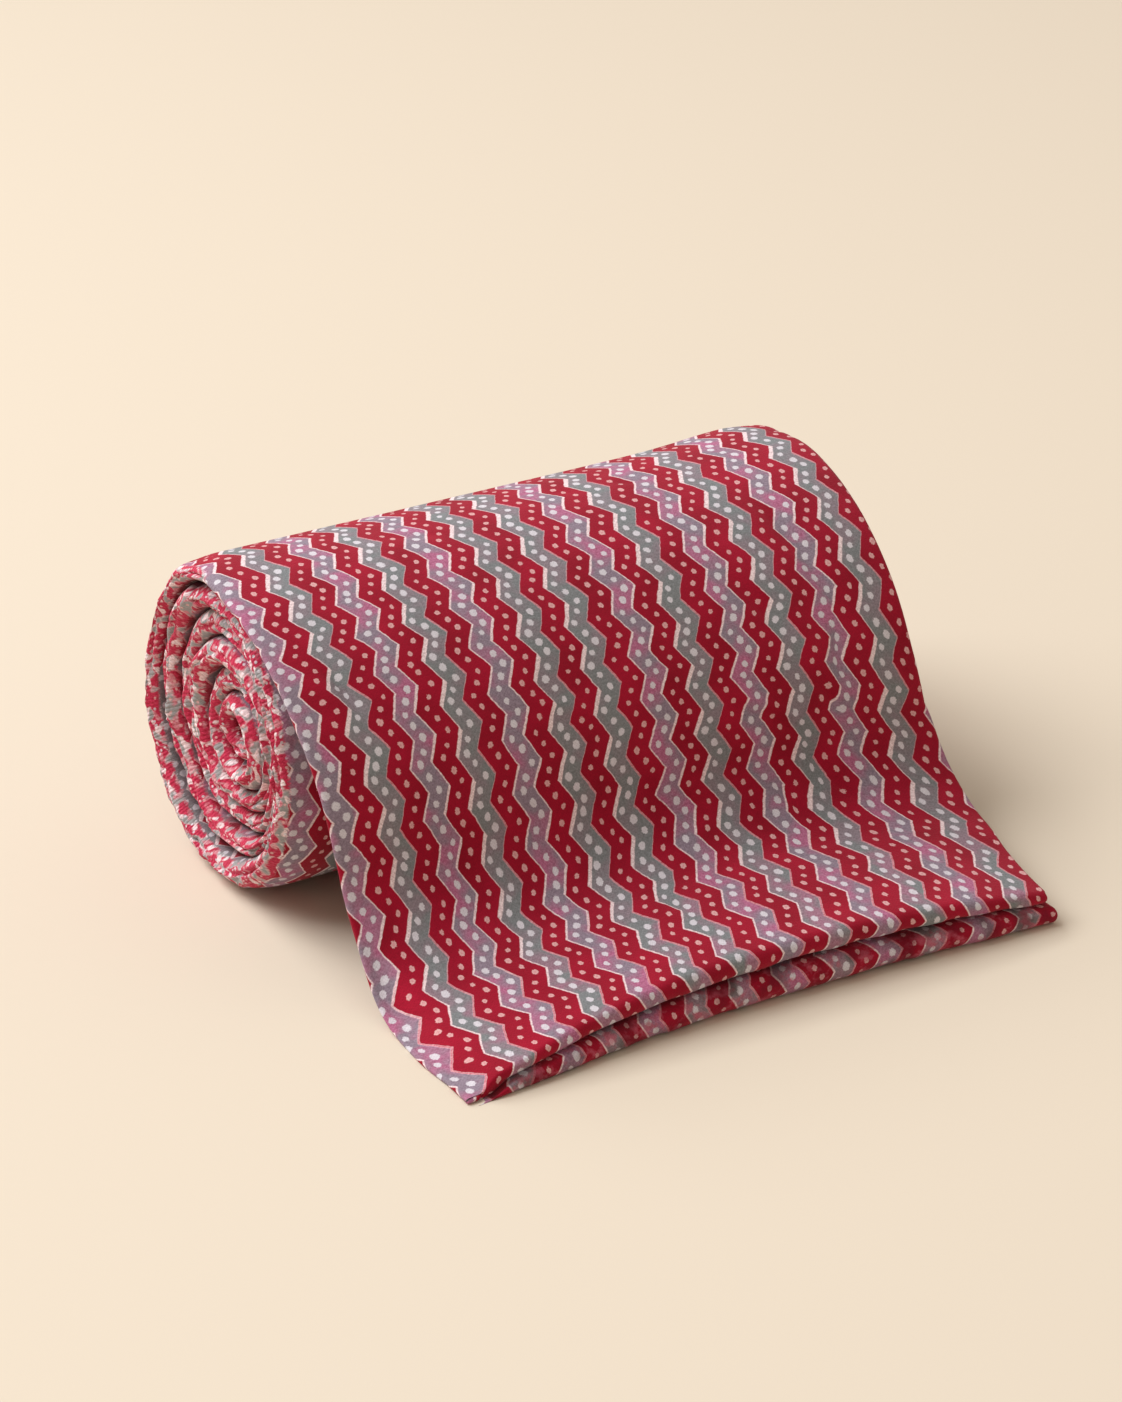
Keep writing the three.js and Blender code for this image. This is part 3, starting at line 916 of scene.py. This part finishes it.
    def bunched(self, colour):
        """Small broken patches of the print on the bunched edges, and painted shade deep between the turns.
        """
        narrow = self.scaled(self.place, (4.2, 3.1, 1.0))
        aside = self.moved(narrow, (5.3, 9.1, 0))
        slant = self.plus(self.times(self.plain_v, 96.0), self.times(self.plain_u, 22.0))
        pleats = self.times(self.math("SINE", slant), 0.008)
        field = self.plus(self.noise(narrow, 0.9, 0.6, Roughness=0.3), pleats)
        second = self.plus(self.noise(aside, 1.3, 0.6, Roughness=0.3), pleats)
        red = self.tone("bunched red", self.speckle, 0.5, 0.25)
        patch = self.mix(self.step(field, 0.56, 0.03), red, self.mix(0.45, self.grey, linear(*BUNCHED_GREY)))
        patch = self.mix(self.step(second, 0.625, 0.03), patch, self.cream)
        patch = self.mix(self.all_but(self.step(second, 0.34, 0.05)), patch, self.rose)
        off_line = self.math("ABSOLUTE", self.plus(field, -0.56))
        outline = self.all_but(self.step(off_line, 0.018, 0.03))
        patch = self.mix(self.times(outline, 0.5), patch, self.cream)
        spots = self.add("ShaderNodeTexVoronoi", {"Vector": aside, "Scale": 1.9}, voronoi_dimensions="2D")
        picked = self.math("GREATER_THAN", self.split(spots.node.outputs[1])[0], 0.55)
        spot = self.times(self.all_but(self.step(spots, 0.20, 0.05)), picked)
        patch = self.mix(self.times(spot, 0.85), patch, self.light_dot)
        ragged = self.plus(self.gathered, self.times(self.plus(self.speckle, -0.5), 0.5))
        colour = self.mix(self.step(ragged, 0.40, 0.08), colour, patch)
        # Painted shade: where the attribute named hidden is 1, deep between two turns, the colour is
        # darkened towards a dark red
        hidden = self.add("ShaderNodeAttribute", output=2, attribute_name="hidden")
        return self.mix(self.times(self.step(hidden, 0.65, 0.35), 0.52), colour, linear(*PAINTED_SHADE_BETWEEN_TURNS))

    def hatched(self, colour):
        """Crossing threads show as a fine hatching, broken up where the cloth is worn or pressed."""
        across = self.math("SINE", self.times(self.plain_u, 2 * np.pi * 17))
        along = self.math("SINE", self.times(self.plain_v, 2 * np.pi * 16))
        lighter = self.times(self.times(across, along), 0.07)
        lighter = self.plus(lighter, self.times(self.plus(self.speckle, -0.5), 0.5))
        lighter = self.plus(lighter, 1.0)
        grey_level = self.add("ShaderNodeCombineXYZ", {"X": lighter, "Y": lighter, "Z": lighter})
        return self.scaled(colour, grey_level)

    def woven(self):
        """A matt plain weave: crossing threads, a fine crumple, and small gathers at the edges."""
        def thread(place):
            return self.math("ABSOLUTE", self.math("SINE", self.times(place, np.pi * THREADS)))

        weave = self.times(self.plus(thread(self.plain_u), thread(self.plain_v)), 0.5)
        height = self.plus(self.times(weave, 0.35), self.speckle)
        slant = self.plus(self.times(self.v, 34.0), self.times(self.u, 5.0))
        gathers = self.math("ABSOLUTE", self.math("SINE", slant))
        height = self.plus(height, self.times(self.times(gathers, self.gathered), 1.6))
        bump = self.add("ShaderNodeBump", {"Strength": 0.6, "Distance": 0.0004, "Height": height})
        self.put(self.surface.inputs["Normal"], bump)
        self.surface.inputs["Roughness"].default_value = 0.88
        self.surface.inputs["Specular IOR Level"].default_value = 0.2
        self.surface.inputs["Sheen Weight"].default_value = 0.10
        self.surface.inputs["Sheen Roughness"].default_value = 0.45


FLOOR_REACH = 10.0

# The camera stands where the photograph was taken from, worked out from the roll's outline
CAMERA_PLACE = (-0.7141, -1.2037, 0.7973)
CAMERA_DOWN = 27.27
CAMERA_AZIMUTH = 30.10
CAMERA_LENS = 97.7

SKY_COLOUR = (1.0, 0.90, 0.785, 1)
SKY_STRENGTH = 0.465
LIGHT_COLOUR = (0.94, 0.968, 1.0)


def pale_floor():
    """A plain matt surface in warm cream."""
    s = Shader("pale_floor")
    s.surface.inputs["Base Color"].default_value = linear(*FLOOR_CREAM)
    s.surface.inputs["Roughness"].default_value = 0.9
    s.surface.inputs["Specular IOR Level"].default_value = 0.1
    mesh = bpy.data.meshes.new("floor")
    corners = [(-1, -1), (1, -1), (1, 1), (-1, 1)]
    mesh.from_pydata([(x * FLOOR_REACH, y * FLOOR_REACH, 0) for x, y in corners], [], [(0, 1, 2, 3)])
    mesh.materials.append(s.material)
    in_scene("floor", mesh)


def camera():
    """The camera, level from side to side and looking down at the roll."""
    data = bpy.data.cameras.new("camera")
    data.lens = CAMERA_LENS
    data.sensor_width = 36.0
    data.clip_end = 20.0
    eye = in_scene("camera", data)
    eye.location = CAMERA_PLACE
    eye.rotation_euler = (np.radians(90 - CAMERA_DOWN), 0, np.radians(-CAMERA_AZIMUTH))
    bpy.context.scene.camera = eye


def soft_light(name, place, target, size, power):
    """A square area light at a place, turned towards a target, in metres and watts."""
    data = bpy.data.lights.new(name, "AREA")
    data.size = size
    data.energy = power
    data.color = LIGHT_COLOUR
    light = in_scene(name, data)
    light.location = place
    heading = np.array(target) - np.array(place)
    flat = np.hypot(heading[0], heading[1])
    light.rotation_euler = (np.arctan2(flat, -heading[2]), 0, np.arctan2(heading[1], heading[0]) - np.pi / 2)


def distant_light(name, lean, turn, spread, power):
    """Light from far away: leaned from straight down and turned about the vertical, in degrees."""
    data = bpy.data.lights.new(name, "SUN")
    data.energy = power
    data.angle = np.radians(spread)
    data.color = LIGHT_COLOUR
    light = in_scene(name, data)
    light.rotation_euler = (np.radians(lean), 0, np.radians(turn))


def studio():
    """Plain soft light from above and behind on the left, and a warm pale sky all round."""
    world = bpy.data.worlds.new("studio")
    world.use_nodes = True
    background = world.node_tree.nodes["Background"]
    background.inputs[0].default_value = SKY_COLOUR
    background.inputs[1].default_value = SKY_STRENGTH
    bpy.context.scene.world = world
    soft_light("key", (-1.8, 1.35, 2.8), (0, 0, 0.05), 2.2, 108)
    distant_light("back", -54, 14, 26, 1.26)
    bpy.context.scene.view_settings.view_transform = "Standard"
    bpy.context.scene.view_settings.look = "None"


cotton = PrintedCotton().material
strip = outer_strip(cotton)
turns_inside = inner_turns(cotton)
for piece in (strip, turns_inside):
    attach(piece, "root")
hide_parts("wound_roll")
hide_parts("loose_end")
pale_floor()
camera()
studio()
